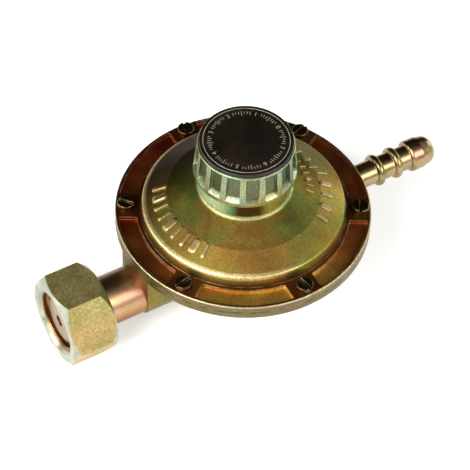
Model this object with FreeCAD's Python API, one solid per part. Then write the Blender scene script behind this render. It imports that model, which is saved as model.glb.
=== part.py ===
"""Adjustable low-pressure gas regulator: diaphragm housing, union-nut inlet, hose-tail outlet.

The model is drawn about the diaphragm axis, with z = 0 on the cover's screw lands, the inlet
on the -X side and the outlet on the +X side.  place() then moves every piece so that the
origin is the tip of the inlet nose, where the cylinder valve seals.
"""
import FreeCAD, Part
import math
import os

V = FreeCAD.Vector
X = V(1, 0, 0)
Y = V(0, 1, 0)
Z = V(0, 0, 1)
EPS = 0.5

# ---- driving dimensions (mm) ----
flange_r = 41.0              # housing flange
cover_flange_t = 2.6
body_flange_t = 2.7
edge_round = 0.5             # rounding of the flange rims
lip_w = 1.0                  # rim left outside the recessed panels
panel_depth = 1.2            # recessed panels between the screws
panel_corner_r = 0.6
land_w = 6.9                 # screw land, from the rim in to the foot
screw_boss_w = 9.8           # width of the land around each screw

screw_count = 6
screw_inset = 3.5
screw_r = 1.5                # M3 cheese head
screw_head_r = 2.75
screw_head_h = 2.0
screw_slot_w = 0.8
screw_slot_d = 0.9
screw_hole_clearance = 0.15
screw_end_gap = 0.3          # screw end stays above the underside of the flange

foot_step = 1.1              # dome of the cover, stepping in from the lands
shoulder_lean = 0.7
shoulder_h = 3.7
shoulder_round = 0.9
crease_in = 7.8
crease_h = 7.7
collar_base_h = 11.4
collar_base_round = 1.1
collar_h = 17.4
cover_wall = 2.3

neck_bore_r = 9.4            # neck: spring bore, bush, turned spigot and collar around it
bush_seat_w = 0.8
register_wall = 1.6
register_h = 22.4
collar_w = 2.9
key_w = 2.0                  # keys of the spring seat and their slots
key_reach = 1.0
key_clearance = 0.3
bush_t = 3.0
vent_r = 0.8

diaphragm_t = 0.8
diaphragm_inset = 7.0        # from the rim of the flange
diaphragm_gap = 0.3
roll_r = 2.5                 # rolled convolution of the diaphragm
roll_room = 7.0              # upper plate to the chamber's wall
upper_plate_t = 1.2
lower_plate_r = 12.0
lower_plate_t = 1.0
stem_thread_r = 2.0
stem_nut_af = 7.0
stem_nut_h = 2.6
diaphragm_travel = 2.0

clamp_w = 6.0                # clamped edge of the diaphragm, outside the body's bowl
chamber_straight = 6.0
bowl_wall = 2.6
bowl_end_room = 3.3          # pad holder's tail to the edge of the bowl's floor
bowl_under_block = 0.4       # bowl's underside below the inlet block
bowl_edge_round = 2.5

inlet_drop = 17.6            # inlet axis below the screw lands
outlet_drop = 9.5            # outlet axis below the screw lands
passage_r = 1.8

block_inset = 1.4            # inlet block of the body, from the rim to its face
block_over_pipe = 0.5        # block's rounded underside around the pipe
block_round = 0.6
shank_step = 1.5
nipple_shank_l = 9.0
pipe_r = 8.1
pipe_l = 20.5                # block face to the shoulder behind the nose
nose_over_pipe = 0.9
nose_l = 6.6
nose_round = 3.0
nose_free = 1.8              # nose tip behind the nut's mouth, nut at rest
nose_bore_r = 2.0
nose_bore_l = 5.0
filter_t = 2.6
filter_gap = 1.0
slip_ring_inset = 0.5        # ring between the nut's floor and the nose's shoulder
slip_ring_t = 1.2
slip_ring_clearance = 0.06
slip_ring_gap = 0.05
nut_forward = 2.6            # free travel of the nut until the ring meets the shoulder

nut_wall = 3.9               # bore to the flats
nut_turn = 1.5               # rest angle of the nut about the inlet axis (degrees)
nut_back_t = 3.45
nut_over_nose = 1.0          # bore for W20 x 1/14 left hand, drawn plain
nut_mouth_chamfer = 1.2
nut_front_angle = 33.0       # turned ends, from the end faces
nut_back_angle = 50.0
nut_end_inset = 0.3
nut_pipe_clearance = 0.35

nozzle_boss_r = 6.0
nozzle_thread_r = 4.0
nozzle_thread_l = 9.5
nozzle_hex_af = 9.0
nozzle_hex_t = 1.6
nozzle_tip_r = 2.1
nozzle_tip_l = 2.4
nozzle_orifice_r = 1.0
nozzle_tip_x = -8.0

pivot_x = 12.0               # lever pivot
pivot_drop = 11.0
pin_r = 1.0
pin_clearance = 0.05
lever_hub_r = 2.4
lever_arm_t = 1.2
lever_arm_w = 4.0
lever_drop_w = 3.0
lever_tip_r = 1.15
lever_slot_clearance = 0.12
lever_side_gap = 0.4
post_t = 2.6
post_l = 5.6
post_above = 2.6

seat_gap = 0.05              # pad to nozzle with the valve shut
pad_rim = 1.2
pad_t = 2.0
holder_head_r = 4.2
holder_head_l = 4.0
holder_r = 3.5
holder_tail = 3.2
guide_clearance = 0.06
guide_gap = 0.8              # guide to the stem and to the lever posts
guide_half_w = 5.6
guide_above = 1.8

stem_half_x = 2.4
stem_half_y = 4.0
stem_below = 1.4

boss_inset = 1.6             # outlet boss and hose tail
boss_wall = 1.4
tail_thread_r = 4.9
tail_thread_l = 9.0
tail_neck_r = 4.2
tail_wall = 1.8
bead_rise = 1.2
bead_w = 2.6
bead_out = (11.5, 18.4)      # from the boss to the middle of each bead
olive_out = 23.5
olive_l = 9.8
olive_plain_l = 4.4          # from its rear face, before it tapers
olive_tip_r = 4.2
olive_round = 3.2

spindle_r = 3.0
spindle_end = 6.6
spindle_collar_r = 6.0
spindle_collar_t = 1.8
spindle_bush_clearance = 0.05
spindle_flat = 2.2
flat_clearance = 0.05
clip_t = 0.8
clip_r = 4.8
clip_gap = 0.2
spring_seat_clearance = 0.4
spring_seat_t = 2.0
spring_seat_hub_r = 5.0
spring_seat_hub_l = 4.0
spring_seat_gap = 1.9        # below the spindle collar, at the backed-off stop
spindle_thread_clearance = 0.05

spring_inset = 1.6           # seat's rim to the middle of the wire
spring_wire_r = 0.8
spring_turns = 4.5

knob_bottom = 18.3
knob_h = 12.1
knob_rim_round = 0.4
knob_cavity_gap = 1.4        # around the spigot
knob_wall = 0.65             # cavity to the floor of the pockets
knob_taper = 1.2
knob_web_t = 2.9
knob_boss_r = 5.6
knob_boss_gap = 0.3
knob_rib_count = 16
knob_rib_w = 2.1
knob_pocket_depth = 1.35
knob_pocket_low = 1.1
knob_pocket_slope = 1.7
knob_pocket_high = 0.6
cap_rim = 0.45               # knob's rim left outside the cap
cap_spigot_inset = 0.2
cap_gap = 0.12
cap_t = 1.2
cap_sunk = 1.1
cap_round = 0.35
knob_screw_head_r = 2.75
knob_screw_head_h = 1.2
knob_screw_r = 1.5
knob_screw_l = 6.0
knob_screw_web = 1.2

# ---- radii that follow ----
screw_circle_r = flange_r - screw_inset
land_r = flange_r - land_w
foot_r = land_r - foot_step
shoulder_r = foot_r - shoulder_lean
crease_r = shoulder_r - crease_in
bush_r = neck_bore_r + bush_seat_w
register_r = bush_r + register_wall
collar_r = register_r + collar_w
spring_seat_r = neck_bore_r - spring_seat_clearance
spring_mean_r = spring_seat_r - spring_inset
diaphragm_r = flange_r - diaphragm_inset
chamber_r = diaphragm_r - clamp_w
upper_plate_r = chamber_r - roll_room
bowl_floor_r = pivot_x + holder_tail + bowl_end_room
nipple_shank_r = pipe_r - shank_step
block_half_w = pipe_r + block_over_pipe
nose_r = pipe_r + nose_over_pipe
nut_bore_r = nose_r + nut_over_nose
nut_af = 2.0 * (nut_bore_r + nut_wall)
slip_ring_r = nut_bore_r - slip_ring_inset
pad_r = holder_head_r - pad_rim
boss_r = tail_thread_r + boss_wall
tail_bore_r = tail_neck_r - tail_wall
bead_r = tail_neck_r + bead_rise
knob_cavity_r = register_r + knob_cavity_gap
knob_top_r = knob_cavity_r + knob_wall + knob_pocket_depth
knob_r = knob_top_r + knob_taper
cap_r = knob_top_r - cap_rim
cap_spigot_r = knob_cavity_r - cap_spigot_inset

# ---- levels and places that follow ----
block_x = flange_r - block_inset
boss_x = flange_r - boss_inset
bead_x = [boss_x + out for out in bead_out]
olive_start = boss_x + olive_out
split_z = -cover_flange_t
flange_z = split_z - body_flange_t
diaphragm_top = split_z
diaphragm_low = split_z - diaphragm_t
inlet_z = -inlet_drop
outlet_z = -outlet_drop
pivot_z = -pivot_drop
floor_z = inlet_z - holder_r - 1.5
bowl_low = inlet_z - block_half_w - bowl_under_block
guide_x0 = stem_half_x + guide_gap
guide_x1 = pivot_x - post_l / 2.0 - guide_gap
post_y = holder_r + lever_side_gap
shoulder_x = -(block_x + pipe_l)
nose_tip_x = shoulder_x - nose_l
mouth_x = nose_tip_x - nose_free
ring_x = shoulder_x + nut_forward
nut_inner_x = ring_x + slip_ring_t + slip_ring_gap
nut_back_x = nut_inner_x + nut_back_t
valve_travel = diaphragm_travel * (inlet_drop - pivot_drop) / pivot_x
pad_face_x = nozzle_tip_x + valve_travel + seat_gap
bush_top = register_h - 0.2
bush_low = bush_top - bush_t
seat_top = bush_low - spindle_collar_t - spring_seat_gap
seat_low = seat_top - spring_seat_t
knob_top = knob_bottom + knob_h
web_top = knob_top - cap_sunk
web_low = web_top - knob_web_t
upper_plate_top = diaphragm_top + upper_plate_t
lower_plate_low = diaphragm_low - lower_plate_t
screw_angles = [30.0 + 360.0 / screw_count * i for i in range(screw_count)]
slot_angles = [20.0, 75.0, 130.0, 8.0, 100.0, 55.0]

PIECES = {}


def keep(name, shape):
    """Store one finished piece after checking that it is one valid solid."""
    solid = shape.removeSplitter()
    if solid.ShapeType == "Compound" and len(solid.Solids) == 1:
        solid = solid.Solids[0]
    if not solid.isValid() or len(solid.Solids) != 1:
        raise ValueError(name + " is not one valid solid: " + str(len(solid.Solids)))
    PIECES[name] = solid


def cyl(r, z0, z1, x=0.0, y=0.0):
    return Part.makeCylinder(r, z1 - z0, V(x, y, z0), Z)


def cyl_x(r, x0, x1, z, y=0.0):
    return Part.makeCylinder(r, x1 - x0, V(x0, y, z), X)


def cyl_y(r, y0, y1, x, z):
    return Part.makeCylinder(r, y1 - y0, V(x, y0, z), Y)


def block(x0, x1, y0, y1, z0, z1):
    return Part.makeBox(x1 - x0, y1 - y0, z1 - z0, V(x0, y0, z0))


def hexagon(af, length, start, axis, turn=0.0):
    """Hexagonal prism, given across its flats, along an axis from a start point."""
    across = Z if abs(axis.z) < 0.5 else X
    side = axis.cross(across)
    r = af / math.sqrt(3.0)
    points = []
    for i in range(7):
        a = math.radians(60.0 * i + turn)
        points.append(start + side * (r * math.cos(a)) + across * (r * math.sin(a)))
    return Part.Face(Part.makePolygon(points)).extrude(axis * length)


def lathe(points, origin=V(0, 0, 0), axis=Z):
    """Solid of revolution from (radius, height) corners joined by straight lines."""
    out = X if axis == Z else Z
    corners = [origin + out * r + axis * h for r, h in points]
    face = Part.Face(Part.makePolygon(corners + [corners[0]]))
    return face.revolve(origin, axis, 360)


def circle_edges(shape, r, level, axis=Z, origin=V(0, 0, 0)):
    """Circular edges of a given radius at a level along the axis."""
    found = []
    for edge in shape.Edges:
        curve = edge.Curve
        if not isinstance(curve, Part.Circle):
            continue
        if abs(curve.Radius - r) > 0.01:
            continue
        if abs((curve.Center - origin).dot(axis) - level) < 0.01:
            found.append(edge)
    return found


def polar(r, angle, z=0.0):
    a = math.radians(angle)
    return V(r * math.cos(a), r * math.sin(a), z)


def turned(shape, angle):
    """Copy of a shape turned about the diaphragm axis."""
    copy = shape.copy()
    copy.rotate(V(0, 0, 0), Z, angle)
    return copy


def dome_profile():
    """Outside of the cover above the lands, from the foot to the top of the spigot."""
    return [
        (foot_r, 0.0),
        (shoulder_r, shoulder_h),
        (crease_r, crease_h),
        (collar_r, collar_base_h),
        (collar_r, collar_h),
        (register_r, collar_h),
        (register_r, register_h),
    ]


def panel_tool():
    """One recess in the cover's rim, between two screw lands."""
    outer = flange_r - lip_w
    step = 360.0 / screw_count
    ring = cyl(outer, -panel_depth, EPS)
    ring = ring.cut(cyl(land_r, -panel_depth - EPS, 2 * EPS))
    reach = 2.0 * flange_r
    half = screw_boss_w / 2.0
    keep_a = block(0, reach, -reach, half, -reach, reach)
    keep_b = block(0, reach, -half, reach, -reach, reach)
    wedge = [V(0, 0, -reach), polar(reach, 0, -reach), polar(reach, step, -reach)]
    wedge = Part.Face(Part.makePolygon(wedge + [wedge[0]])).extrude(Z * (2 * reach))
    tool = ring.common(wedge)
    tool = tool.cut(keep_a)
    tool = tool.cut(turned(keep_b, step))
    upright = [e for e in tool.Edges if abs(e.Vertexes[0].Z - e.Vertexes[-1].Z) > panel_depth]
    return tool.makeFillet(panel_corner_r, upright)


def make_cover():
    profile = [(flange_r, split_z), (flange_r, 0.0)] + dome_profile()
    inner_r = foot_r - cover_wall - 0.5
    drop = cover_wall * 1.1
    top_z = collar_base_h - drop
    bush_seat = [(bush_r, register_h), (bush_r, bush_low), (neck_bore_r, bush_low)]
    neck = [(neck_bore_r, top_z), (crease_r - 1.0, crease_h - drop)]
    skirt = [(inner_r, shoulder_h - drop + 0.5), (inner_r, split_z)]
    shape = lathe(profile + bush_seat + neck + skirt)
    shape = shape.makeFillet(collar_base_round, circle_edges(shape, collar_r, collar_base_h))
    shape = shape.makeFillet(shoulder_round, circle_edges(shape, shoulder_r, shoulder_h))
    shape = shape.makeFillet(edge_round, circle_edges(shape, flange_r, 0.0))
    tool = panel_tool()
    for angle in screw_angles:
        shape = shape.cut(turned(tool, angle))
        place_at = polar(screw_circle_r, angle)
        hole_r = screw_r + screw_hole_clearance
        shape = shape.cut(cyl(hole_r, split_z - EPS, EPS, place_at.x, place_at.y))
    reach = spring_seat_r + key_reach + key_clearance
    half = key_w / 2.0 + key_clearance
    slot = block(-reach, reach, -half, half, top_z - drop - 1.0, bush_low)
    shape = shape.cut(slot)
    vent = cyl_y(vent_r, 0, flange_r, 0, collar_h - 2.0)
    keep("cover_casting", shape.cut(vent))


def make_screws():
    length = cover_flange_t + body_flange_t - screw_end_gap
    for i, angle in enumerate(screw_angles):
        head = cyl(screw_head_r, 0, screw_head_h)
        head = head.makeFillet(0.4, circle_edges(head, screw_head_r, screw_head_h))
        slot_z = screw_head_h - screw_slot_d
        half = screw_slot_w / 2.0
        slot = block(-screw_head_r, screw_head_r, -half, half, slot_z, screw_head_h + EPS)
        screw = head.cut(turned(slot, slot_angles[i % len(slot_angles)]))
        screw = screw.fuse(cyl(screw_r, -length, 0))
        screw.translate(polar(screw_circle_r, angle))
        keep("cover_screw_" + str(i + 1), screw)


def make_body():
    bowl_top = diaphragm_low - chamber_straight
    outer = [
        (0, split_z),
        (0, bowl_low),
        (bowl_floor_r + bowl_wall, bowl_low),
        (chamber_r + bowl_wall, bowl_top - 1.0),
        (chamber_r + bowl_wall, flange_z),
        (flange_r, flange_z),
        (flange_r, split_z),
    ]
    shape = lathe(outer)
    edge = circle_edges(shape, bowl_floor_r + bowl_wall, bowl_low)
    shape = shape.makeFillet(bowl_edge_round, edge)
    shape = shape.makeFillet(edge_round, circle_edges(shape, flange_r, flange_z))
    inlet = block(-block_x, 0, -block_half_w, block_half_w, inlet_z, flange_z + EPS)
    inlet = inlet.fuse(cyl_x(block_half_w, -block_x, 0, inlet_z)).removeSplitter()
    rim = [e for e in inlet.Edges if e.BoundBox.XMax < EPS - block_x]
    rim = [e for e in rim if e.BoundBox.ZMin < flange_z]
    shape = shape.fuse(inlet.makeFillet(block_round, rim))
    shape = shape.fuse(cyl_x(boss_r, 0, boss_x, outlet_z))
    chamber = lathe([
        (0, split_z + EPS),
        (0, floor_z),
        (bowl_floor_r, floor_z),
        (chamber_r, bowl_top),
        (chamber_r, diaphragm_low),
        (diaphragm_r + diaphragm_gap, diaphragm_low),
        (diaphragm_r + diaphragm_gap, split_z + EPS),
    ])
    shape = shape.cut(chamber)
    boss_x1 = nozzle_tip_x - nozzle_tip_l - nozzle_hex_t
    boss_x0 = -chamber_r
    low = floor_z - EPS
    shape = shape.fuse(cyl_x(nozzle_boss_r, boss_x0, boss_x1, inlet_z))
    shape = shape.fuse(block(boss_x0, boss_x1, -nozzle_boss_r, nozzle_boss_r, low, inlet_z))
    guide_top = inlet_z + holder_r + guide_above
    guide = block(guide_x0, guide_x1, -guide_half_w, guide_half_w, low, guide_top)
    shape = shape.fuse(guide)
    for side in (-1, 1):
        y0 = min(side * post_y, side * (post_y + post_t))
        top = pivot_z + post_above
        post = block(pivot_x - post_l / 2, pivot_x + post_l / 2, y0, y0 + post_t, low, top)
        shape = shape.fuse(post)
    shape = shape.cut(cyl_x(nipple_shank_r, -block_x - EPS, -block_x + nipple_shank_l, inlet_z))
    shape = shape.cut(cyl_x(passage_r, -block_x, boss_x1 - nozzle_thread_l, inlet_z))
    shape = shape.cut(cyl_x(nozzle_thread_r, boss_x1 - nozzle_thread_l, boss_x1, inlet_z))
    shape = shape.cut(cyl_x(holder_r + guide_clearance, guide_x0, guide_x1, inlet_z))
    shape = shape.cut(cyl_x(tail_thread_r, boss_x - tail_thread_l, boss_x + EPS, outlet_z))
    shape = shape.cut(cyl_x(tail_bore_r, chamber_r - 4, boss_x, outlet_z))
    outer_y = post_y + post_t
    shape = shape.cut(cyl_y(pin_r, -outer_y - EPS, outer_y + EPS, pivot_x, pivot_z))
    for angle in screw_angles:
        at = polar(screw_circle_r, angle)
        shape = shape.cut(cyl(screw_r, flange_z - EPS, split_z + EPS, at.x, at.y))
    keep("body_casting", shape)
    keep("lever_pin", cyl_y(pin_r, -outer_y, outer_y, pivot_x, pivot_z))


def make_diaphragm():
    """Clamped rubber disc with one rolled convolution, and its centre plates."""
    mid_r = (upper_plate_r + chamber_r) / 2.0
    half = min(roll_r, (chamber_r - upper_plate_r) / 2.0 - diaphragm_t)
    inner = half - diaphragm_t / 2
    outer = half + diaphragm_t / 2
    base = cyl(diaphragm_r, diaphragm_low, diaphragm_top)
    base = base.cut(cyl(stem_thread_r, diaphragm_low - EPS, diaphragm_top + EPS))
    gap = cyl(mid_r + inner, diaphragm_low - EPS, diaphragm_top + EPS)
    gap = gap.cut(cyl(mid_r - inner, diaphragm_low - EPS, diaphragm_top + EPS))
    base = base.cut(gap)
    roll = Part.makeTorus(mid_r, outer, V(0, 0, diaphragm_low), Z)
    roll = roll.cut(Part.makeTorus(mid_r, inner, V(0, 0, diaphragm_low), Z))
    roll = roll.common(cyl(diaphragm_r, diaphragm_low, diaphragm_low + 2 * outer))
    keep("diaphragm", base.fuse(roll))

    plate = cyl(upper_plate_r, diaphragm_top, upper_plate_top)
    plate = plate.makeFillet(0.4, circle_edges(plate, upper_plate_r, upper_plate_top))
    ring = cyl(spring_mean_r - spring_wire_r - 0.4, upper_plate_top, upper_plate_top + 0.8)
    plate = plate.fuse(ring)
    plate = plate.cut(cyl(stem_thread_r, diaphragm_top - EPS, upper_plate_top + 2))
    keep("diaphragm_plate", plate)

    lower = cyl(lower_plate_r, lower_plate_low, diaphragm_low)
    lower = lower.makeFillet(0.3, circle_edges(lower, lower_plate_r, lower_plate_low))
    keep("diaphragm_backing", lower.cut(cyl(stem_thread_r, lower_plate_low, diaphragm_low)))

    nut_low = upper_plate_top + 0.8
    nut = hexagon(stem_nut_af, stem_nut_h, V(0, 0, nut_low), Z)
    keep("stem_nut", nut.cut(cyl(stem_thread_r, nut_low, nut_low + stem_nut_h)))

    slot_half = lever_tip_r + lever_slot_clearance
    low = pivot_z - slot_half - stem_below + lever_slot_clearance
    stem = block(-stem_half_x, stem_half_x, -stem_half_y, stem_half_y, low, lower_plate_low)
    window_y = lever_arm_w / 2.0 + lever_side_gap
    window = block(-2 * stem_half_x, 2 * stem_half_x, -window_y, window_y,
                   pivot_z - slot_half, pivot_z + slot_half)
    stem = stem.cut(window)
    stem = stem.fuse(cyl(stem_thread_r, lower_plate_low - EPS, nut_low + stem_nut_h + 0.3))
    keep("diaphragm_stem", stem)


def make_spring():
    """Round-wire compression spring between the diaphragm plate and the spring seat."""
    low = upper_plate_top + spring_wire_r
    high = seat_low - spring_wire_r
    pitch = (high - low) / spring_turns
    path = Part.makeHelix(pitch, high - low, spring_mean_r)
    section = Part.Wire(Part.makeCircle(spring_wire_r, V(spring_mean_r, 0, 0), Y))
    coil = Part.Wire(path).makePipeShell([section], True, True)
    coil.translate(V(0, 0, low))
    keep("main_spring", coil)


def make_spring_seat():
    """Threaded follower: it is keyed to the neck and rides on the spindle's thread."""
    disc = cyl(spring_seat_r, seat_low, seat_top)
    reach = spring_seat_r + key_reach
    half = key_w / 2.0
    shape = disc.fuse(block(-reach, reach, -half, half, seat_low, seat_top))
    shape = shape.fuse(cyl(spring_seat_hub_r, seat_low - spring_seat_hub_l, seat_top))
    bore_r = spindle_r + spindle_thread_clearance
    bore = cyl(bore_r, seat_low - spring_seat_hub_l - EPS, seat_top + EPS)
    keep("spring_seat", shape.cut(bore))


def make_spindle():
    """Adjusting spindle, its bush in the neck and its retaining clip."""
    top = web_low
    bore_end = top - knob_screw_l - 0.3
    flat_low = bush_top + clip_gap + clip_t + knob_boss_gap
    shape = cyl(spindle_r, spindle_end, top - 0.1)
    shape = shape.fuse(cyl(spindle_collar_r, bush_low - spindle_collar_t, bush_low - 0.1))
    flat = block(-knob_r, knob_r, spindle_flat, knob_r, flat_low, knob_top)
    shape = shape.cut(flat)
    shape = shape.cut(cyl(knob_screw_r, bore_end, top + EPS))
    groove = cyl(spindle_r, bush_top + clip_gap, bush_top + clip_gap + clip_t)
    groove = groove.cut(cyl(spindle_r - 0.6, bush_top, bush_top + 2))
    shape = shape.cut(groove)
    keep("adjusting_spindle", shape)

    bush = cyl(bush_r, bush_low, bush_top)
    bush = bush.makeFillet(0.4, circle_edges(bush, bush_r, bush_top))
    bore = cyl(spindle_r + spindle_bush_clearance, bush_low - EPS, bush_top + EPS)
    keep("neck_bush", bush.cut(bore))

    clip = cyl(clip_r, bush_top + clip_gap, bush_top + clip_gap + clip_t)
    clip = clip.cut(cyl(spindle_r - 0.6, bush_top, bush_top + 2))
    gate = block(0, clip_r + EPS, -1.6, 1.6, bush_top, bush_top + 2)
    keep("spindle_clip", clip.cut(gate))


def pocket_tool():
    """One finger pocket of the knob, with a sloping ledge at its foot."""
    step = 2 * math.pi * knob_r / knob_rib_count
    half = (step - knob_rib_w) / 2.0
    outer = knob_r + EPS
    low = knob_bottom + knob_pocket_low
    high = knob_top - knob_pocket_high
    ledge = low + knob_pocket_slope
    lean = knob_taper / knob_h
    points = [
        V(knob_top_r + lean * (knob_top - high) - knob_pocket_depth, -half, high),
        V(outer, -half, high),
        V(outer, -half, low),
        V(knob_top_r + lean * (knob_top - ledge) - knob_pocket_depth, -half, ledge),
    ]
    return Part.Face(Part.makePolygon(points + [points[0]])).extrude(Y * (2 * half))


def make_knob():
    body = Part.makeCone(knob_r, knob_top_r, knob_h, V(0, 0, knob_bottom), Z)
    rims = circle_edges(body, knob_top_r, knob_top) + circle_edges(body, knob_r, knob_bottom)
    body = body.makeFillet(knob_rim_round, rims)
    body = body.cut(cyl(knob_cavity_r, knob_bottom - EPS, web_low))
    boss_low = bush_top + clip_gap + clip_t + knob_boss_gap
    body = body.fuse(cyl(knob_boss_r, boss_low, web_low + EPS))
    body = body.cut(cyl(cap_spigot_r + cap_gap, web_top, knob_top + EPS))
    pocket = pocket_tool()
    for i in range(knob_rib_count):
        body = body.cut(turned(pocket, 360.0 / knob_rib_count * i))
    screw_seat = web_low + knob_screw_web
    bore = cyl(spindle_r + spindle_bush_clearance, boss_low - EPS, web_low)
    flat_y = spindle_flat + flat_clearance
    bore = bore.cut(block(-knob_r, knob_r, flat_y, knob_r, boss_low - EPS, web_low))
    body = body.cut(bore)
    body = body.cut(cyl(knob_screw_r + screw_hole_clearance, web_low - EPS, screw_seat))
    body = body.cut(cyl(knob_screw_head_r + 0.3, screw_seat, web_top + EPS))
    keep("knob", body)

    cap = cyl(cap_r, knob_top, knob_top + cap_t)
    cap = cap.makeFillet(cap_round, circle_edges(cap, cap_r, knob_top + cap_t))
    keep("knob_cap", cap.fuse(cyl(cap_spigot_r, web_top, knob_top)))

    head = cyl(knob_screw_head_r, screw_seat, screw_seat + knob_screw_head_h)
    half = screw_slot_w / 2.0
    slot_z = screw_seat + knob_screw_head_h - 0.6
    slot = block(-knob_r, knob_r, -half, half, slot_z, knob_top)
    screw = head.cut(slot)
    keep("knob_screw", screw.fuse(cyl(knob_screw_r, web_low - knob_screw_l, screw_seat)))


def make_inlet():
    """Inlet nipple with its rounded nose, the filter in the nose and the nut's slip ring."""
    shape = cyl_x(pipe_r, shoulder_x, -block_x, inlet_z)
    shape = shape.fuse(cyl_x(nipple_shank_r, -block_x, -block_x + nipple_shank_l, inlet_z))
    nose = cyl_x(nose_r, nose_tip_x, shoulder_x, inlet_z)
    at = V(0, 0, inlet_z)
    nose = nose.makeFillet(nose_round, circle_edges(nose, nose_r, nose_tip_x, X, at))
    shape = shape.fuse(nose)
    end = -block_x + nipple_shank_l
    shape = shape.cut(cyl_x(passage_r, nose_tip_x - EPS, end + EPS, inlet_z))
    shape = shape.cut(cyl_x(nose_bore_r, nose_tip_x - EPS, nose_tip_x + nose_bore_l, inlet_z))
    keep("inlet_nipple", shape)

    start = nose_tip_x + filter_gap
    keep("inlet_filter", cyl_x(nose_bore_r, start, start + filter_t, inlet_z))

    slip = cyl_x(slip_ring_r, ring_x, ring_x + slip_ring_t, inlet_z)
    bore_r = pipe_r + slip_ring_clearance
    slip = slip.cut(cyl_x(bore_r, ring_x - EPS, ring_x + slip_ring_t + EPS, inlet_z))
    keep("nut_slip_ring", slip)


def make_nut():
    """Union nut: hexagon with both ends turned, plain bore and a floor around the pipe."""
    length = nut_back_x - mouth_x
    centre = V(mouth_x, 0, inlet_z)
    shape = hexagon(nut_af, length, centre, X, nut_turn)
    corner = nut_af / math.sqrt(3.0)
    flat_r = nut_af / 2.0 - nut_end_inset
    reach = corner + EPS - flat_r
    front = min(reach * math.tan(math.radians(nut_front_angle)), length / 3.0)
    back = min(reach * math.tan(math.radians(nut_back_angle)), length / 3.0)
    blank = lathe([
        (0, 0),
        (flat_r, 0),
        (corner + EPS, front),
        (corner + EPS, length - back),
        (flat_r, length),
        (0, length),
    ], centre, X)
    shape = shape.common(blank)
    shape = shape.cut(cyl_x(nut_bore_r, mouth_x - EPS, nut_inner_x, inlet_z))
    shape = shape.cut(cyl_x(pipe_r + nut_pipe_clearance, mouth_x, nut_back_x + EPS, inlet_z))
    cone = Part.makeCone(nut_bore_r + nut_mouth_chamfer, nut_bore_r, nut_mouth_chamfer,
                         centre, X)
    keep("union_nut", shape.cut(cone))


def make_valve():
    """Seat nozzle, sliding pad holder with its pad, and the bell-crank lever."""
    tip_start = nozzle_tip_x - nozzle_tip_l
    hex_start = tip_start - nozzle_hex_t
    shape = cyl_x(nozzle_thread_r, hex_start - nozzle_thread_l, hex_start, inlet_z)
    shape = shape.fuse(hexagon(nozzle_hex_af, nozzle_hex_t, V(hex_start, 0, inlet_z), X))
    cone = Part.makeCone(nozzle_tip_r + 1.0, nozzle_tip_r, nozzle_tip_l,
                         V(tip_start, 0, inlet_z), X)
    shape = shape.fuse(cone)
    start = hex_start - nozzle_thread_l
    shape = shape.cut(cyl_x(nozzle_orifice_r, start - EPS, nozzle_tip_x + EPS, inlet_z))
    entry_end = hex_start - 2.0
    shape = shape.cut(cyl_x(nozzle_orifice_r + 1.2, start - EPS, entry_end, inlet_z))
    keep("seat_nozzle", shape)

    head_end = pad_face_x + holder_head_l
    tail_end = pivot_x + holder_tail
    holder = cyl_x(holder_head_r, pad_face_x, head_end, inlet_z)
    holder = holder.fuse(cyl_x(holder_r, head_end, tail_end, inlet_z))
    holder = holder.cut(cyl_x(pad_r, pad_face_x - EPS, pad_face_x + pad_t, inlet_z))
    half = lever_tip_r + lever_slot_clearance
    slot_floor = inlet_z - lever_tip_r - 0.4
    slot = block(pivot_x - half, pivot_x + half, -holder_r, holder_r,
                 slot_floor, inlet_z + holder_r + EPS)
    keep("pad_holder", holder.cut(slot))
    keep("valve_pad", cyl_x(pad_r, pad_face_x, pad_face_x + pad_t, inlet_z))

    half_w = lever_arm_w / 2.0
    half_t = lever_arm_t / 2.0
    hub_half = post_y - lever_side_gap
    lever = cyl_y(lever_hub_r, -hub_half, hub_half, pivot_x, pivot_z)
    arm = block(0, pivot_x, -half_w, half_w, pivot_z - half_t, pivot_z + half_t)
    lever = lever.fuse(arm)
    lever = lever.fuse(cyl_y(lever_tip_r, -half_w, half_w, 0, pivot_z))
    half_d = lever_drop_w / 2.0
    drop = block(pivot_x - half_t, pivot_x + half_t, -half_d, half_d, inlet_z, pivot_z)
    lever = lever.fuse(drop)
    lever = lever.fuse(cyl_y(lever_tip_r, -half_d, half_d, pivot_x, inlet_z))
    bore = cyl_y(pin_r + pin_clearance, -hub_half - EPS, hub_half + EPS, pivot_x, pivot_z)
    keep("valve_lever", lever.cut(bore))


def make_tail():
    """Hose tail: threaded shank, smooth neck, two rounded beads and an olive end."""
    end = olive_start + olive_l
    shape = cyl_x(tail_thread_r, boss_x - tail_thread_l, boss_x, outlet_z)
    shape = shape.fuse(cyl_x(tail_neck_r, boss_x, olive_start + olive_l / 2, outlet_z))
    for x in bead_x:
        bead = cyl_x(bead_r, x - bead_w / 2, x + bead_w / 2, outlet_z)
        ends = circle_edges(bead, bead_r, x - bead_w / 2, X)
        ends = ends + circle_edges(bead, bead_r, x + bead_w / 2, X)
        shape = shape.fuse(bead.makeFillet(min(bead_rise, bead_w / 2 - 0.1), ends))
    olive = lathe([
        (0, olive_start),
        (bead_r, olive_start),
        (bead_r, olive_start + olive_plain_l),
        (olive_tip_r, end),
        (0, end),
    ], V(0, 0, outlet_z), X)
    at = V(0, 0, outlet_z)
    olive = olive.makeFillet(bead_rise, circle_edges(olive, bead_r, olive_start, X, at))
    olive = olive.makeFillet(olive_round, circle_edges(olive, olive_tip_r, end, X, at))
    shape = shape.fuse(olive)
    bore = cyl_x(tail_bore_r, boss_x - tail_thread_l - EPS, end + EPS, outlet_z)
    keep("outlet_tail", shape.cut(bore))


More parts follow.
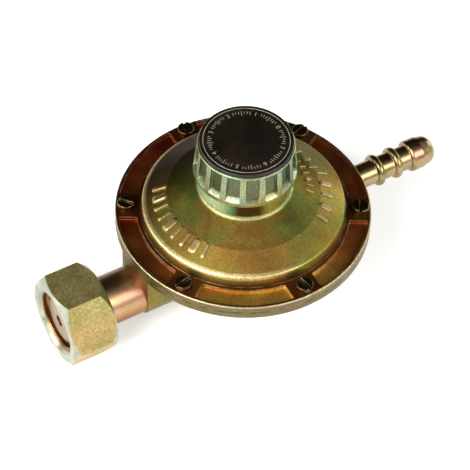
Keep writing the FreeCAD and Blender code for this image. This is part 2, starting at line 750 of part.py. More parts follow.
def place():
    """Move every piece to the frame whose origin is the nose's tip, and write it."""
    os.makedirs("parts", exist_ok=True)
    for name, shape in PIECES.items():
        moved = shape.copy()
        moved.translate(V(-nose_tip_x, 0, -inlet_z))
        moved.exportStep("parts/" + name + ".step")
        box = moved.BoundBox
        span = [round(v, 2) for v in (box.XMin, box.XMax, box.YMin, box.YMax, box.ZMin, box.ZMax)]
        print(name, round(moved.Volume, 1), span)


make_cover()
make_screws()
make_body()
make_diaphragm()
make_spring()
make_spring_seat()
make_spindle()
make_knob()
make_inlet()
make_nut()
make_valve()
make_tail()
place()
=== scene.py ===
import bpy, bmesh, math
from mathutils import Matrix, Vector


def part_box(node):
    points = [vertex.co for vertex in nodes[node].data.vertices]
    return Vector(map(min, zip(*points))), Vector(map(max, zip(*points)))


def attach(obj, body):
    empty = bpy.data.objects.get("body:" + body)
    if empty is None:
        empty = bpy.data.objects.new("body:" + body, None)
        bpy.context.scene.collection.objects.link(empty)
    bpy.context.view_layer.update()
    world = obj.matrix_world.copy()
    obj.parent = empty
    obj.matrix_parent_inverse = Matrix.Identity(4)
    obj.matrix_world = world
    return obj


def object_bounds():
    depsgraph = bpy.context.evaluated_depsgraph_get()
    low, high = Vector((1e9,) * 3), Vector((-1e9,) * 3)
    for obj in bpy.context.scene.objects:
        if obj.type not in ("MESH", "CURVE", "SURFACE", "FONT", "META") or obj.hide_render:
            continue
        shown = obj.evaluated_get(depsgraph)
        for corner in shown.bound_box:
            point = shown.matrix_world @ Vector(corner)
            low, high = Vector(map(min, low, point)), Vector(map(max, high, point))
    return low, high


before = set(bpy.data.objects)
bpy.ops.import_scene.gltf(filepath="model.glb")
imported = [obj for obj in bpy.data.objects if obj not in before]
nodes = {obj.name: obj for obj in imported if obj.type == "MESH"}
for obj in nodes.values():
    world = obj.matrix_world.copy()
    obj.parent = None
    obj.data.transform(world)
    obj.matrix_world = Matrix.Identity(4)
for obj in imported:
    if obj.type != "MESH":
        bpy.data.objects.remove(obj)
CAD_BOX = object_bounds()

# ---------------------------------------------------------------- places from the CAD
knob_lo, knob_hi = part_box("knob")
cap_lo, cap_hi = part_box("knob_cap")
nut_lo, nut_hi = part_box("union_nut")
screw_lo, screw_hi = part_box("cover_screw_2")
cover_lo, cover_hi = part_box("cover_casting")
AX = (knob_lo[0] + knob_hi[0]) / 2
SPLIT = cover_lo[2]
LAND = screw_hi[2] - 0.002
CAP_TOP = cap_hi[2]
CAP_R = (cap_hi[0] - cap_lo[0]) / 2
MM = 0.001


# ---------------------------------------------------------------- camera
def make_camera():
    azimuth = math.radians(-32.1)
    elevation = math.radians(49.76)
    roll = math.radians(2.46)
    back = Vector((math.sin(azimuth) * math.cos(elevation), -math.cos(azimuth) * math.cos(elevation), math.sin(elevation)))
    right = Vector((math.cos(azimuth), math.sin(azimuth), 0.0))
    up = back.cross(right)
    turned_right = right * math.cos(roll) + up * math.sin(roll)
    turned_up = up * math.cos(roll) - right * math.sin(roll)
    target = Vector((AX - 0.00821, -0.00877, LAND))
    data = bpy.data.cameras.new("camera")
    data.lens = 161.9
    data.sensor_width = 36.0
    data.clip_start = 0.01
    data.clip_end = 20.0
    cam = bpy.data.objects.new("camera", data)
    axes = Matrix((turned_right, turned_up, back)).transposed()
    cam.matrix_world = Matrix.Translation(target + back * 0.668) @ axes.to_4x4()
    bpy.context.scene.collection.objects.link(cam)
    bpy.context.scene.camera = cam


# ---------------------------------------------------------------- node helpers
def rgb(r, g, b):
    """Linear colour from an sRGB one given as 0 to 255."""
    out = []
    for v in (r, g, b):
        v = v / 255.0
        out.append(v / 12.92 if v <= 0.04045 else ((v + 0.055) / 1.055) ** 2.4)
    return (out[0], out[1], out[2], 1.0)


class Tree:
    """A small builder for one material's nodes."""

    def __init__(self, name):
        self.mat = bpy.data.materials.new(name)
        self.mat.use_nodes = True
        self.nt = self.mat.node_tree
        self.nt.nodes.clear()
        self.out = self.node("ShaderNodeOutputMaterial")
        self.bsdf = self.node("ShaderNodeBsdfPrincipled")
        self.link(self.bsdf.outputs[0], self.out.inputs[0])
        self.coords = self.node("ShaderNodeTexCoord")
        self.pos = self.coords.outputs["Object"]

    def node(self, kind, **values):
        n = self.nt.nodes.new(kind)
        for key, value in values.items():
            setattr(n, key, value)
        return n

    def link(self, a, b):
        self.nt.links.new(a, b)

    def put(self, socket, value):
        if isinstance(value, bpy.types.NodeSocket):
            self.link(value, socket)
        else:
            socket.default_value = value

    def math(self, op, a, b=0.0, clamp=False):
        n = self.node("ShaderNodeMath", operation=op, use_clamp=clamp)
        self.put(n.inputs[0], a)
        self.put(n.inputs[1], b)
        return n.outputs[0]

    def noise(self, scale, detail=2.0, distortion=0.0, pos=None, rough=0.5):
        n = self.node("ShaderNodeTexNoise")
        n.inputs["Scale"].default_value = scale
        n.inputs["Detail"].default_value = detail
        n.inputs["Roughness"].default_value = rough
        n.inputs["Distortion"].default_value = distortion
        self.link(pos if pos is not None else self.pos, n.inputs["Vector"])
        return n.outputs["Fac"]

    def spread(self, value, lo, hi, to_lo=0.0, to_hi=1.0):
        n = self.node("ShaderNodeMapRange")
        n.inputs[1].default_value = lo
        n.inputs[2].default_value = hi
        n.inputs[3].default_value = to_lo
        n.inputs[4].default_value = to_hi
        self.link(value, n.inputs[0])
        return n.outputs[0]

    def ramp(self, value, stops):
        n = self.node("ShaderNodeValToRGB")
        ramp = n.color_ramp
        while len(ramp.elements) < len(stops):
            ramp.elements.new(0.5)
        for element, (place, colour) in zip(ramp.elements, stops):
            element.position = place
            element.color = colour
        self.link(value, n.inputs[0])
        return n.outputs[0]

    def mix(self, factor, a, b, blend="MIX"):
        n = self.node("ShaderNodeMix", data_type="RGBA", blend_type=blend)
        self.put(n.inputs[0], factor)
        self.put(n.inputs[6], a)
        self.put(n.inputs[7], b)
        return n.outputs[2]

    def split(self, vector):
        n = self.node("ShaderNodeSeparateXYZ")
        self.link(vector, n.inputs[0])
        return n.outputs

    def shifted(self, x, y, z):
        n = self.node("ShaderNodeVectorMath", operation="SUBTRACT")
        self.link(self.pos, n.inputs[0])
        n.inputs[1].default_value = (x, y, z)
        return n.outputs[0]

    def radius(self, a, b):
        return self.math("SQRT", self.math("ADD", self.math("MULTIPLY", a, a), self.math("MULTIPLY", b, b)))

    def bump(self, layers, edge=0.0):
        """Stacks bump layers of (height, strength, distance) over an optional rounded edge."""
        normal = None
        if edge > 0:
            bevel = self.node("ShaderNodeBevel", samples=4)
            bevel.inputs["Radius"].default_value = edge
            normal = bevel.outputs[0]
        for height, strength, distance in layers:
            n = self.node("ShaderNodeBump")
            n.inputs["Strength"].default_value = strength
            n.inputs["Distance"].default_value = distance
            self.link(height, n.inputs["Height"])
            if normal is not None:
                self.link(normal, n.inputs["Normal"])
            normal = n.outputs[0]
        self.link(normal, self.bsdf.inputs["Normal"])

    def edges(self, size):
        """1 on sharp edges, 0 on open faces."""
        bevel = self.node("ShaderNodeBevel", samples=4)
        bevel.inputs["Radius"].default_value = size
        geo = self.node("ShaderNodeNewGeometry")
        dot = self.node("ShaderNodeVectorMath", operation="DOT_PRODUCT")
        self.link(bevel.outputs[0], dot.inputs[0])
        self.link(geo.outputs["Normal"], dot.inputs[1])
        return self.spread(dot.outputs["Value"], 0.995, 0.90)


# ---------------------------------------------------------------- materials
def passivated(name, stops, tone=1.0, rough=(0.38, 0.54), grain=0.25, zones=None, worn=(205, 190, 140)):
    """Yellow-passivated zinc: drifting interference tints over a fine cast skin."""
    t = Tree(name)
    centred = t.shifted(AX, 0, LAND)
    parts = t.split(centred)
    radial = t.radius(parts[0], parts[1])
    drift = t.noise(26.0, 3.0, 0.9)
    bands = t.math("MULTIPLY", t.math("SINE", t.math("MULTIPLY", radial, 520.0)), 0.07)
    fine = t.math("MULTIPLY", t.math("SUBTRACT", t.noise(140.0, 3.0, 0.4), 0.5), 0.22)
    value = t.math("ADD", t.math("ADD", t.spread(drift, 0.28, 0.72), bands), fine, clamp=True)
    colour = t.ramp(value, stops)
    if zones is not None:
        colour = zones(t, colour, parts, radial)
    specks = t.spread(t.noise(900.0, 2.0), 0.66, 0.74)
    colour = t.mix(t.math("MULTIPLY", specks, 0.35), colour, rgb(70, 50, 25))
    mottle = t.spread(t.noise(1700.0, 3.0), 0.42, 0.60)
    colour = t.mix(t.math("MULTIPLY", mottle, 0.36), colour, rgb(78, 60, 26))
    stain = t.spread(t.noise(62.0, 4.0, 0.8), 0.54, 0.70)
    colour = t.mix(t.math("MULTIPLY", stain, 0.35), colour, rgb(120, 58, 26))
    wear = t.math("MULTIPLY", t.edges(0.35 * MM), t.spread(t.noise(260.0, 3.0), 0.38, 0.62))
    colour = t.mix(t.math("MULTIPLY", wear, 0.85), colour, rgb(*worn))
    t.link(colour, t.bsdf.inputs["Base Color"])
    t.bsdf.inputs["Metallic"].default_value = tone
    patch = t.noise(75.0, 4.0, 0.3)
    t.link(t.spread(patch, 0.3, 0.7, rough[0], rough[1]), t.bsdf.inputs["Roughness"])
    t.bump([
        (t.noise(160.0, 3.0), 0.10, 0.35 * MM),
        (t.noise(1300.0, 3.0), grain, 0.06 * MM),
    ], edge=0.22 * MM)
    return t.mat


GOLD_STOPS = [
    (0.00, rgb(140, 84, 42)),
    (0.22, rgb(168, 134, 58)),
    (0.42, rgb(158, 148, 66)),
    (0.60, rgb(130, 144, 70)),
    (0.78, rgb(164, 136, 62)),
    (1.00, rgb(156, 94, 54)),
]

MARK_STOPS = [
    (0.00, rgb(176, 128, 92)),
    (0.35, rgb(186, 160, 112)),
    (0.65, rgb(164, 152, 100)),
    (1.00, rgb(182, 136, 104)),
]

SCREW_STOPS = [
    (0.00, rgb(74, 50, 26)),
    (0.30, rgb(104, 78, 38)),
    (0.60, rgb(86, 82, 44)),
    (1.00, rgb(96, 60, 36)),
]

PALE_STOPS = [
    (0.00, rgb(150, 146, 96)),
    (0.25, rgb(168, 176, 130)),
    (0.50, rgb(150, 176, 144)),
    (0.75, rgb(176, 176, 124)),
    (1.00, rgb(164, 144, 96)),
]


def seam(t, parts):
    """1 along the joint between the cover's flange and the body's."""
    off = t.math("ABSOLUTE", t.math("SUBTRACT", parts[2], SPLIT - LAND))
    return t.spread(off, 0.36 * MM, 0.12 * MM)


def cover_zones(t, colour, parts, radial):
    """Tints of the cover: browner below the crease, red in the recesses, painted shade on the dome's rear, painted
    light on the front panels, painted highlights along the shoulder, the collar's root and the rim, and a tint
    with painted highlight and shade across the collar.
    """
    outer = t.math("MULTIPLY", t.spread(radial, 24.3 * MM, 24.9 * MM), t.spread(parts[2], 3.4 * MM, 4.2 * MM))
    browner = t.mix(t.spread(t.noise(38.0, 3.0, 0.6), 0.35, 0.65), rgb(168, 124, 62), rgb(150, 134, 56))
    colour = t.mix(t.math("MULTIPLY", outer, 0.5), colour, browner)
    # painted shade: the rear of the dome is darkened to stand in for the dark reflection behind it
    painted_dark_rear = t.math("MULTIPLY", t.spread(parts[1], 6.0 * MM, 22.0 * MM), t.spread(parts[0], 14.0 * MM, 2.0 * MM))
    colour = t.mix(t.math("MULTIPLY", painted_dark_rear, 0.9), colour, rgb(52, 32, 12))
    low = t.spread(parts[2], -0.05 * MM, -0.5 * MM)
    inside = t.spread(radial, 40.6 * MM, 40.1 * MM)
    panel = t.math("MULTIPLY", low, inside)
    maroon = t.mix(t.spread(t.noise(45.0, 2.0, 0.5), 0.40, 0.66), rgb(156, 52, 38), rgb(190, 118, 56))
    # painted light: the panels toward the front are mixed toward a pale yellow as if lit from the front
    painted_lit_front = t.math("MULTIPLY", t.spread(parts[1], -18.0 * MM, -32.0 * MM), t.spread(parts[0], 20.0 * MM, 6.0 * MM))
    maroon = t.mix(t.math("MULTIPLY", painted_lit_front, 0.9), maroon, rgb(244, 200, 100))
    colour = t.mix(t.math("MULTIPLY", panel, 0.9), colour, maroon)
    land = t.math("MULTIPLY", t.spread(parts[2], 2.4 * MM, 0.6 * MM), t.spread(parts[2], -0.5 * MM, -0.1 * MM))
    colour = t.mix(t.math("MULTIPLY", land, 0.8), colour, rgb(112, 52, 32))
    # painted highlight: a pale line along the dome's shoulder, on the left side only
    painted_shoulder_highlight = t.math("MULTIPLY", t.spread(radial, 30.9 * MM, 31.5 * MM), t.spread(parts[2], 2.4 * MM, 2.9 * MM))
    left = t.spread(parts[0], 4.0 * MM, -14.0 * MM)
    colour = t.mix(t.math("MULTIPLY", t.math("MULTIPLY", painted_shoulder_highlight, left), 0.9), colour, rgb(246, 222, 160))
    # passivation tint with painted highlight and shade: the collar runs from a near-white painted highlight and
    # teal on the left to dark brown painted shade at the front
    collar = t.spread(parts[2], 11.6 * MM, 12.8 * MM)
    around = t.math("DIVIDE", t.math("ADD", parts[0], t.math("MULTIPLY", parts[1], -0.35)), 14.7 * MM)
    collar_tint_and_shading = t.ramp(t.spread(around, -1.0, 1.0), [
        (0.10, rgb(214, 246, 232)), (0.25, rgb(104, 168, 128)), (0.33, rgb(74, 42, 22)),
        (0.56, rgb(78, 46, 24)), (0.68, rgb(184, 176, 84))])
    colour = t.mix(t.math("MULTIPLY", collar, 0.92), colour, collar_tint_and_shading)
    # painted highlight: a pale band round the fillet at the root of the collar
    painted_root_highlight = t.math("MULTIPLY", t.spread(parts[2], 10.9 * MM, 11.5 * MM), t.spread(parts[2], 12.6 * MM, 12.0 * MM))
    colour = t.mix(t.math("MULTIPLY", painted_root_highlight, 0.6), colour, rgb(190, 206, 150))
    side = t.math("MULTIPLY", t.spread(radial, 40.7 * MM, 40.9 * MM), 0.8)
    colour = t.mix(side, colour, rgb(106, 101, 74))
    # painted highlight: a pale line all round the flange's top fillet
    painted_rim_highlight = t.math("MULTIPLY", t.spread(radial, 40.62 * MM, 40.80 * MM), t.spread(parts[2], -0.60 * MM, -0.40 * MM))
    colour = t.mix(t.math("MULTIPLY", painted_rim_highlight, 0.7), colour, rgb(222, 210, 170))
    return t.mix(t.math("MULTIPLY", seam(t, parts), side), colour, rgb(44, 34, 20))


def body_zones(t, colour, parts, radial):
    """The turned edge of the flange is greyer than the casting below it."""
    side = t.math("MULTIPLY", t.spread(radial, 40.7 * MM, 40.9 * MM), t.spread(parts[2], -6.2 * MM, -5.4 * MM))
    colour = t.mix(t.math("MULTIPLY", side, 0.8), colour, rgb(106, 101, 74))
    below = t.spread(parts[2], -6.5 * MM, -8.0 * MM)
    colour = t.mix(t.math("MULTIPLY", below, 0.5), colour, rgb(98, 92, 42))
    return t.mix(t.math("MULTIPLY", seam(t, parts), side), colour, rgb(44, 34, 20))


def knob_zones(t, colour, parts, radial):
    """The finger pockets are tinted darker teal-green, and the knob below about 20 mm is tinted olive."""
    deep = t.spread(t.math("ADD", radial, t.math("MULTIPLY", t.spread(parts[2], 18.3 * MM, 30.4 * MM), 1.2 * MM)),
                    15.9 * MM, 15.2 * MM)
    pocket_tint = t.mix(t.noise(220.0, 3.0, 0.4), rgb(62, 84, 68), rgb(98, 104, 66))
    colour = t.mix(t.math("MULTIPLY", deep, 0.8), colour, pocket_tint)
    return t.mix(t.math("MULTIPLY", t.spread(parts[2], 20.2 * MM, 19.4 * MM), 0.7), colour, rgb(160, 154, 92))


def turned_brass(name, stops, rough=(0.22, 0.34), pitch=5200.0, mark=0.10, along=0, zones=None):
    """Bright turned brass with tool marks round its axis and tarnish drifting along it."""
    t = Tree(name)
    parts = t.split(t.pos)
    drift = t.noise(55.0, 3.0, 0.6)
    band = t.math("MULTIPLY", t.math("SINE", t.math("MULTIPLY", parts[along], 700.0)), 0.08)
    value = t.math("ADD", t.spread(drift, 0.3, 0.7), band, clamp=True)
    colour = t.ramp(value, stops)
    if zones is not None:
        colour = zones(t, colour, parts)
    dirt = t.spread(t.noise(420.0, 4.0, 0.4), 0.60, 0.75)
    colour = t.mix(t.math("MULTIPLY", dirt, 0.35), colour, rgb(92, 60, 34))
    wear = t.math("MULTIPLY", t.edges(0.3 * MM), 0.5)
    colour = t.mix(wear, colour, rgb(226, 206, 160))
    t.link(colour, t.bsdf.inputs["Base Color"])
    t.bsdf.inputs["Metallic"].default_value = 1.0
    t.link(t.spread(t.noise(130.0, 3.0, 0.3), 0.3, 0.7, rough[0], rough[1]), t.bsdf.inputs["Roughness"])
    marks = t.math("SINE", t.math("ADD", t.math("MULTIPLY", parts[along], pitch),
                                  t.math("MULTIPLY", t.noise(60.0, 2.0), 6.0)))
    t.bump([(marks, mark, 0.02 * MM), (t.noise(700.0, 3.0), 0.06, 0.05 * MM)], edge=0.2 * MM)
    return t.mat


def nipple_zones(t, colour, parts):
    """A silvery nose, a darker yellower underside along the pipe painted as shade, and painted shade on the pipe's
    rear side.
    """
    # painted shade: the underside of the pipe is tinted darker and yellower in place of its dimmer reflection
    painted_dark_underside = t.spread(parts[2], 2.5 * MM, -1.5 * MM)
    colour = t.mix(t.math("MULTIPLY", painted_dark_underside, 0.9), colour, rgb(136, 90, 40))
    # painted shade: the pipe's rear side, seen from above, is darkened to stand in for the dark reflection there
    painted_dark_rear = t.spread(parts[1], 1.5 * MM, 5.0 * MM)
    colour = t.mix(t.math("MULTIPLY", painted_dark_rear, 0.8), colour, rgb(84, 44, 24))
    return t.mix(t.math("MULTIPLY", t.spread(parts[0], 9.0 * MM, 7.5 * MM), 0.8), colour, rgb(160, 140, 120))


def nut_material():
    """Blasted flats with painted shade on the upper ones, turned bright ends and a dark bore."""
    t = Tree("nut_blasted_brass")
    normal = t.split(t.coords.outputs["Normal"])
    parts = t.split(t.pos)
    ends = t.spread(t.math("ABSOLUTE", normal[0]), 0.25, 0.40)
    radial = t.radius(parts[1], parts[2])
    bore = t.spread(radial, 10.35 * MM, 10.05 * MM)
    blasted = t.ramp(t.noise(38.0, 4.0, 0.5), [
        (0.30, rgb(176, 148, 92)), (0.50, rgb(196, 170, 114)), (0.70, rgb(166, 154, 96))])
    pits = t.spread(t.noise(1700.0, 3.0), 0.44, 0.62)
    blasted = t.mix(t.math("MULTIPLY", pits, 0.6), blasted, rgb(132, 104, 62))
    bright = t.ramp(t.noise(85.0, 3.0, 0.7), [
        (0.30, rgb(182, 184, 160)), (0.50, rgb(146, 154, 136)), (0.70, rgb(190, 184, 154))])
    # painted shade: the upper flats are mixed toward a darker olive; the same top mask also holds the bright
    # flecks of the blasted skin
    top_shade_and_fleck = t.spread(parts[2], 6.0 * MM, 11.0 * MM)
    blasted = t.mix(t.math("MULTIPLY", top_shade_and_fleck, 0.6), blasted, rgb(150, 146, 86))
    fleck = t.math("MULTIPLY", t.spread(t.noise(1100.0, 3.0), 0.50, 0.64), top_shade_and_fleck)
    blasted = t.mix(t.math("MULTIPLY", fleck, 0.55), blasted, rgb(204, 192, 130))
    colour = t.mix(ends, blasted, bright)
    brown = t.mix(t.noise(300.0, 3.0), rgb(84, 48, 22), rgb(140, 98, 52))
    colour = t.mix(bore, colour, brown)
    wear = t.math("MULTIPLY", t.edges(0.4 * MM), t.spread(t.noise(220.0, 3.0), 0.35, 0.6))
    colour = t.mix(t.math("MULTIPLY", wear, 0.55), colour, rgb(228, 204, 156))
    t.link(colour, t.bsdf.inputs["Base Color"])
    t.bsdf.inputs["Metallic"].default_value = 0.92
    flat_rough = t.spread(t.noise(160.0, 2.0), 0.3, 0.7, 0.50, 0.64)
    end_rough = t.spread(t.noise(160.0, 2.0), 0.3, 0.7, 0.22, 0.34)
    n = t.node("ShaderNodeMix", data_type="FLOAT")
    t.link(ends, n.inputs[0])
    t.link(flat_rough, n.inputs[2])
    t.link(end_rough, n.inputs[3])
    t.link(n.outputs[0], t.bsdf.inputs["Roughness"])
    flat = t.math("SUBTRACT", 1.0, ends)
    grain = t.math("MULTIPLY", t.noise(1500.0, 3.0), flat)
    rings = t.math("MULTIPLY", t.math("SINE", t.math("MULTIPLY", radial, 9000.0)), ends)
    t.bump([(grain, 0.55, 0.09 * MM), (rings, 0.10, 0.02 * MM)], edge=0.35 * MM)
    return t.mat


def plastic(name, base, rough):
    """Moulded black plastic with a fine spark-eroded texture and handling marks."""
    t = Tree(name)
    haze = t.noise(90.0, 4.0, 0.4)
    colour = t.mix(t.spread(haze, 0.4, 0.7), rgb(*base), rgb(base[0] + 16, base[1] + 10, base[2] + 4))
    t.link(colour, t.bsdf.inputs["Base Color"])
    t.link(t.spread(haze, 0.3, 0.7, rough, rough + 0.14), t.bsdf.inputs["Roughness"])
    t.bump([(t.noise(2600.0, 2.0), 0.16, 0.03 * MM), (t.noise(240.0, 2.0), 0.05, 0.1 * MM)], edge=0.2 * MM)
    return t.mat


def print_ink():
    """Silver print, thin and slightly broken."""
    t = Tree("dial_print")
    worn = t.spread(t.noise(800.0, 3.0), 0.5, 0.75)
    colour = t.mix(t.math("MULTIPLY", worn, 0.5), rgb(196, 188, 160), rgb(120, 112, 92))
    t.link(colour, t.bsdf.inputs["Base Color"])
    t.bsdf.inputs["Metallic"].default_value = 0.5
    t.link(t.spread(worn, 0.0, 1.0, 0.35, 0.6), t.bsdf.inputs["Roughness"])
    t.bump([(t.noise(2400.0, 2.0), 0.1, 0.02 * MM)])
    return t.mat


def rubber():
    t = Tree("black_rubber")
    dust = t.noise(180.0, 4.0)
    colour = t.mix(t.spread(dust, 0.4, 0.7), rgb(28, 28, 28), rgb(52, 50, 46))
    t.link(colour, t.bsdf.inputs["Base Color"])
    t.link(t.spread(dust, 0.3, 0.7, 0.6, 0.82), t.bsdf.inputs["Roughness"])
    t.bump([(t.noise(1800.0, 3.0), 0.2, 0.05 * MM)])
    return t.mat


def plated_steel(name, stops, rough=(0.22, 0.4)):
    t = Tree(name)
    colour = t.ramp(t.noise(200.0, 4.0, 0.6), stops)
    t.link(colour, t.bsdf.inputs["Base Color"])
    t.bsdf.inputs["Metallic"].default_value = 1.0
    t.link(t.spread(t.noise(300.0, 3.0), 0.3, 0.7, rough[0], rough[1]), t.bsdf.inputs["Roughness"])
    t.bump([(t.noise(1600.0, 3.0), 0.15, 0.04 * MM)], edge=0.15 * MM)
    return t.mat


def floor_material():
    t = Tree("floor_pale")
    shade = t.noise(3.0, 2.0)
    t.link(t.mix(shade, (0.90, 0.90, 0.90, 1), (0.93, 0.93, 0.93, 1)), t.bsdf.inputs["Base Color"])
    t.bsdf.inputs["Roughness"].default_value = 0.9
    t.bsdf.inputs["Emission Color"].default_value = (1, 1, 1, 1)
    t.bsdf.inputs["Emission Strength"].default_value = 0.40
    return t.mat


# ---------------------------------------------------------------- pieces
def mesh_piece(name, verts, faces, material, body, smooth=False):
    mesh = bpy.data.meshes.new(name)
    mesh.from_pydata([tuple(v) for v in verts], [], faces)
    mesh.update()
    bm = bmesh.new()
    bm.from_mesh(mesh)
    bmesh.ops.recalc_face_normals(bm, faces=bm.faces)
    bm.to_mesh(mesh)
    bm.free()
    for poly in mesh.polygons:
        poly.use_smooth = smooth
    obj = bpy.data.objects.new(name, mesh)
    obj.data.materials.append(material)
    bpy.context.scene.collection.objects.link(obj)
    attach(obj, body)
    return obj


DOME = [(15.8, 11.4), (24.5, 7.7), (31.2, 4.35)]


def dome_height(r):
    """Height of the dome above the screw lands at a radius, both in mm."""
    for (r0, z0), (r1, z1) in zip(DOME, DOME[1:]):
        if r <= r1:
            return z0 + (z1 - z0) * (r - r0) / (r1 - r0)
    return DOME[-1][1]


def raised_marks(name, marks, rise, material):
    """Cast-on marks laid on the dome: each is (angle, radius, turn, outline in mm)."""
    verts, faces = [], []
    for angle, radius, turn, outline in marks:
        cs, sn = math.cos(math.radians(turn)), math.sin(math.radians(turn))
        centre_u = sum(u for u, v in outline) / len(outline)
        centre_v = sum(v for u, v in outline) / len(outline)
        first = len(verts)
        count = len(outline)
        for scale, height in ((1.0, -0.35), (1.0, rise * 0.55), (0.72, rise)):
            for u, v in outline:
                pu = centre_u + (u - centre_u) * scale
                pv = centre_v + (v - centre_v) * scale
                ru, rv = pu * cs - pv * sn, pu * sn + pv * cs
                r = radius + rv
                a = math.radians(angle) + ru / radius
                z = dome_height(r) + height
                verts.append((AX + r * MM * math.cos(a), r * MM * math.sin(a), LAND + z * MM))
        for ring in (0, 1):
            for i in range(count):
                j = (i + 1) % count
                a0 = first + ring * count
                faces.append((a0 + i, a0 + j, a0 + count + j, a0 + count + i))
        faces.append(tuple(first + 2 * count + i for i in range(count)))
        faces.append(tuple(first + i for i in reversed(range(count))))
    return mesh_piece(name, verts, faces, material, "regulator")


def bar(w, h, cut=0.25):
    """Outline of a bar with cut corners, its width along the arc."""
    x, y = w / 2, h / 2
    return [(-x + cut, -y), (x - cut, -y), (x, -y + cut), (x, y - cut),
            (x - cut, y), (-x + cut, y), (-x, y - cut), (-x, -y + cut)]


def mark_row(start, end, radius, height, pattern):
    """One row of cast marks between two angles: b is a bar, w a wide one."""
    row = []
    step = (end - start) / (len(pattern) - 1)
    for i, kind in enumerate(pattern):
        outline = bar(height * 0.56, height, 0.6) if kind == "w" else bar(height * 0.26, height)
        row.append((start + step * i, radius, 0, outline))
    return row


def dome_marks(material):
    """Raised casting marks: plain hatching in place of any wording."""
    raised_marks("dome_marks_left", mark_row(147.0, 213.0, 26.9, 4.6, "bwbbwbbwb"), 0.7, material)
    right = mark_row(-52.0, -10.0, 26.4, 3.8, "bwbwb")
    right += mark_row(-4.0, 24.0, 24.6, 3.2, "bwbb")
    right += mark_row(-33.0, 4.0, 20.8, 2.4, "bbwbbb")
    raised_marks("dome_marks_right", right, 0.45, material)


def tube_ring(name, centre, r, section, material, body, count=96):
    """Ring swept round +Z from a closed section of (radial, height) offsets in mm."""
    verts, faces = [], []
    n = len(section)
    for i in range(count):
        a = 2 * math.pi * i / count
        for dr, dz in section:
            rr = (r + dr) * MM
            verts.append((centre[0] + rr * math.cos(a), centre[1] + rr * math.sin(a), centre[2] + dz * MM))
    for i in range(count):
        j = (i + 1) % count
        for k in range(n):
            m = (k + 1) % n
            faces.append((i * n + k, j * n + k, j * n + m, i * n + m))
    return mesh_piece(name, verts, faces, material, body, smooth=True)


def dial(material):
    """Printed ring, ticks and generic numerals on the knob's cap."""
    top = Vector((AX, 0, CAP_TOP))
    tube_ring("dial_ring", top, 13.5, [(-0.10, -0.05), (0.10, -0.05), (0.10, 0.03), (-0.10, 0.03)],
              material, "adjuster")
    verts, faces = [], []
    for i in range(80):
        if i % 10 in (9, 0, 1):
            continue
        a = 2 * math.pi * i / 80
        r0, r1 = (10.4, 12.3) if i % 5 == 0 else (10.8 + 0.25 * (i % 3), 12.1)
        half = 0.10
        first = len(verts)
        for z in (-0.05, 0.03):
            for r, s in ((r0, -half), (r1, -half), (r1, half), (r0, half)):
                x = r * math.cos(a) - s * math.sin(a)
                y = r * math.sin(a) + s * math.cos(a)
                verts.append((top.x + x * MM, top.y + y * MM, top.z + z * MM))
        for q in ((0, 1, 2, 3), (4, 5, 6, 7), (0, 1, 5, 4), (1, 2, 6, 5), (2, 3, 7, 6), (3, 0, 4, 7)):
            faces.append(tuple(first + k for k in q))
    mesh_piece("dial_ticks", verts, faces, material, "adjuster")
    for i in range(8):
        a = 2 * math.pi * i / 8
        curve = bpy.data.curves.new("dial_number_%d" % i, "FONT")
        curve.body = str(i)
        curve.size = 2.2 * MM
        curve.extrude = 0.03 * MM
        curve.align_x = "CENTER"
        curve.align_y = "CENTER"
        text = bpy.data.objects.new("dial_number_%d" % i, curve)
        bpy.context.scene.collection.objects.link(text)
        place = Vector((AX + 11.3 * MM * math.cos(a), 11.3 * MM * math.sin(a), CAP_TOP + 0.01 * MM))
        text.matrix_world = Matrix.Translation(place) @ Matrix.Rotation(a - math.pi / 2, 4, "Z")
        bpy.context.view_layer.update()
        mesh = bpy.data.meshes.new_from_object(text.evaluated_get(bpy.context.evaluated_depsgraph_get()))
        mesh.transform(text.matrix_world)
        obj = bpy.data.objects.new("dial_figure_%d" % i, mesh)
        bpy.data.objects.remove(text)
        obj.data.materials.clear()
        obj.data.materials.append(material)
        bpy.context.scene.collection.objects.link(obj)
        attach(obj, "adjuster")


def nut_thread(material):
    """Left-hand thread ridges inside the nut's mouth."""
    pitch = 1.814
    start = nut_lo[0] / MM + 1.3
    turns = 4.6
    steps = 64
    verts, faces = [], []
    total = int(turns * steps)
    for i in range(total + 1):
        a = -2 * math.pi * i / steps
        x = start + pitch * i / steps
        fade = min(1.0, i / 24.0, (total - i) / 24.0)
        for dx, r in ((-0.72, 10.05), (-0.12, 10.0 - 0.72 * fade), (0.12, 10.0 - 0.72 * fade), (0.72, 10.05)):
            verts.append(((x + dx) * MM, r * MM * math.cos(a), r * MM * math.sin(a)))
    for i in range(total):
        for k in range(4):
            m = (k + 1) % 4
            faces.append((i * 4 + k, i * 4 + 4 + k, i * 4 + 4 + m, i * 4 + m))
    faces.append((0, 1, 2, 3))
    faces.append(tuple(total * 4 + k for k in (3, 2, 1, 0)))
    mesh_piece("nut_thread", verts, faces, material, "nut", smooth=False)


# ---------------------------------------------------------------- light and floor
def area(name, place, aim, size, power, colour=(1, 1, 1)):
    data = bpy.data.lights.new(name, "AREA")
    data.shape = "RECTANGLE"
    data.size = size[0]
    data.size_y = size[1]
    data.energy = power
    data.color = colour
    light = bpy.data.objects.new(name, data)
    light.location = place
    light.rotation_euler = (Vector(aim) - Vector(place)).to_track_quat("-Z", "Y").to_euler()
    bpy.context.scene.collection.objects.link(light)


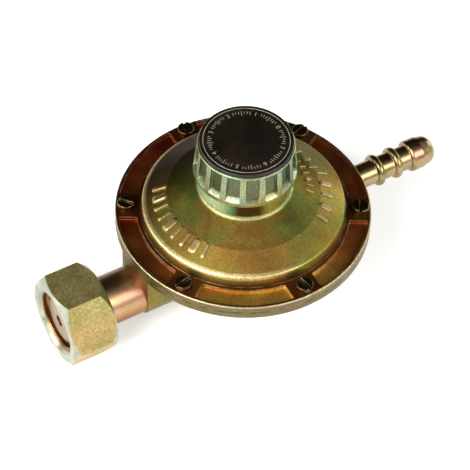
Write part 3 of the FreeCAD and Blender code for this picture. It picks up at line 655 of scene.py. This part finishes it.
def make_studio():
    floor = bpy.data.meshes.new("floor")
    z = CAD_BOX[0][2] - 0.0002
    floor.from_pydata([(-3, -3, z), (3, -3, z), (3, 3, z), (-3, 3, z)], [], [(0, 1, 2, 3)])
    obj = bpy.data.objects.new("floor", floor)
    obj.data.materials.append(floor_material())
    bpy.context.scene.collection.objects.link(obj)
    world = bpy.data.worlds.new("studio")
    bpy.context.scene.world = world
    world.use_nodes = True
    nt = world.node_tree
    back = nt.nodes["Background"]
    coords = nt.nodes.new("ShaderNodeTexCoord")
    dot = nt.nodes.new("ShaderNodeVectorMath")
    dot.operation = "DOT_PRODUCT"
    dot.inputs[1].default_value = (0.30, 0.78, 0.55)
    nt.links.new(coords.outputs["Generated"], dot.inputs[0])
    ramp = nt.nodes.new("ShaderNodeValToRGB")
    ramp.color_ramp.elements[0].position = 0.05
    ramp.color_ramp.elements[0].color = (0.85, 0.84, 0.82, 1)
    ramp.color_ramp.elements[1].position = 0.68
    ramp.color_ramp.elements[1].color = (0.036, 0.024, 0.014, 1)
    nt.links.new(dot.outputs["Value"], ramp.inputs[0])
    nt.links.new(ramp.outputs[0], back.inputs[0])
    back.inputs[1].default_value = 0.50
    centre = (AX, 0, LAND)
    area("front_box", (AX + 0.42, -0.84, 0.66), centre, (0.95, 0.55), 7.4)
    area("left_box", (AX - 0.92, -0.30, 0.72), centre, (0.6, 0.9), 17.0)
    area("back_left", (AX - 1.00, 0.40, 0.36), centre, (0.50, 0.50), 5.0)
    area("right_box", (AX + 1.05, 0.12, 0.34), centre, (0.5, 0.5), 2.8)


def assign(material, *names):
    for name in names:
        mesh = nodes[name].data
        mesh.materials.clear()
        mesh.materials.append(material)


def dress():
    cover = passivated("cover_passivated", GOLD_STOPS, zones=cover_zones)
    body = passivated("body_passivated", GOLD_STOPS, zones=body_zones)
    knob = passivated("knob_passivated", PALE_STOPS, rough=(0.24, 0.4), grain=0.2, zones=knob_zones,
                      worn=(226, 226, 206))
    screws = passivated("screw_passivated", SCREW_STOPS, rough=(0.25, 0.4), grain=0.15, worn=(206, 190, 150))
    copper = [(0.0, rgb(176, 118, 88)), (0.35, rgb(200, 158, 124)), (0.65, rgb(184, 150, 108)), (1.0, rgb(196, 138, 116))]
    tail_stops = [(0.0, rgb(176, 128, 104)), (0.35, rgb(166, 148, 108)), (0.65, rgb(136, 130, 84)), (1.0, rgb(184, 138, 114))]
    yellow = [(0.0, rgb(180, 140, 70)), (0.5, rgb(206, 170, 96)), (1.0, rgb(170, 130, 72))]
    steel = [(0.3, rgb(150, 150, 148)), (0.5, rgb(184, 184, 180)), (0.7, rgb(160, 158, 150))]
    wire = [(0.3, rgb(92, 92, 94)), (0.5, rgb(128, 128, 130)), (0.7, rgb(104, 100, 96))]
    plate = [(0.3, rgb(170, 164, 130)), (0.5, rgb(190, 188, 164)), (0.7, rgb(176, 160, 120))]
    bronze = [(0.3, rgb(110, 78, 44)), (0.5, rgb(150, 112, 66)), (0.7, rgb(124, 90, 56))]
    brass = turned_brass("inner_brass", yellow)
    assign(cover, "cover_casting")
    assign(body, "body_casting")
    assign(knob, "knob")
    assign(screws, *["cover_screw_%d" % i for i in range(1, 7)])
    assign(turned_brass("nipple_brass", copper, rough=(0.28, 0.40), zones=nipple_zones), "inlet_nipple")
    assign(turned_brass("tail_brass", tail_stops), "outlet_tail")
    assign(brass, "diaphragm_stem", "spring_seat", "adjusting_spindle", "neck_bush", "nut_slip_ring", "seat_nozzle", "pad_holder")
    assign(nut_material(), "union_nut")
    assign(plastic("cap_black", (16, 11, 6), 0.36), "knob_cap")
    assign(rubber(), "diaphragm", "valve_pad")
    assign(plated_steel("turned_steel", steel), "lever_pin", "stem_nut", "knob_screw")
    assign(plated_steel("spring_wire", wire), "main_spring", "spindle_clip")
    assign(plated_steel("pressed_steel", plate), "diaphragm_plate", "diaphragm_backing", "valve_lever")
    assign(plated_steel("sintered_bronze", bronze, rough=(0.5, 0.7)), "inlet_filter")
    dome_marks(passivated("mark_passivated", MARK_STOPS, worn=(220, 204, 160)))
    dial(print_ink())
    nut_thread(turned_brass("thread_brass", bronze, rough=(0.25, 0.4)))


make_camera()
make_studio()
dress()
bpy.context.scene.view_settings.view_transform = "Standard"
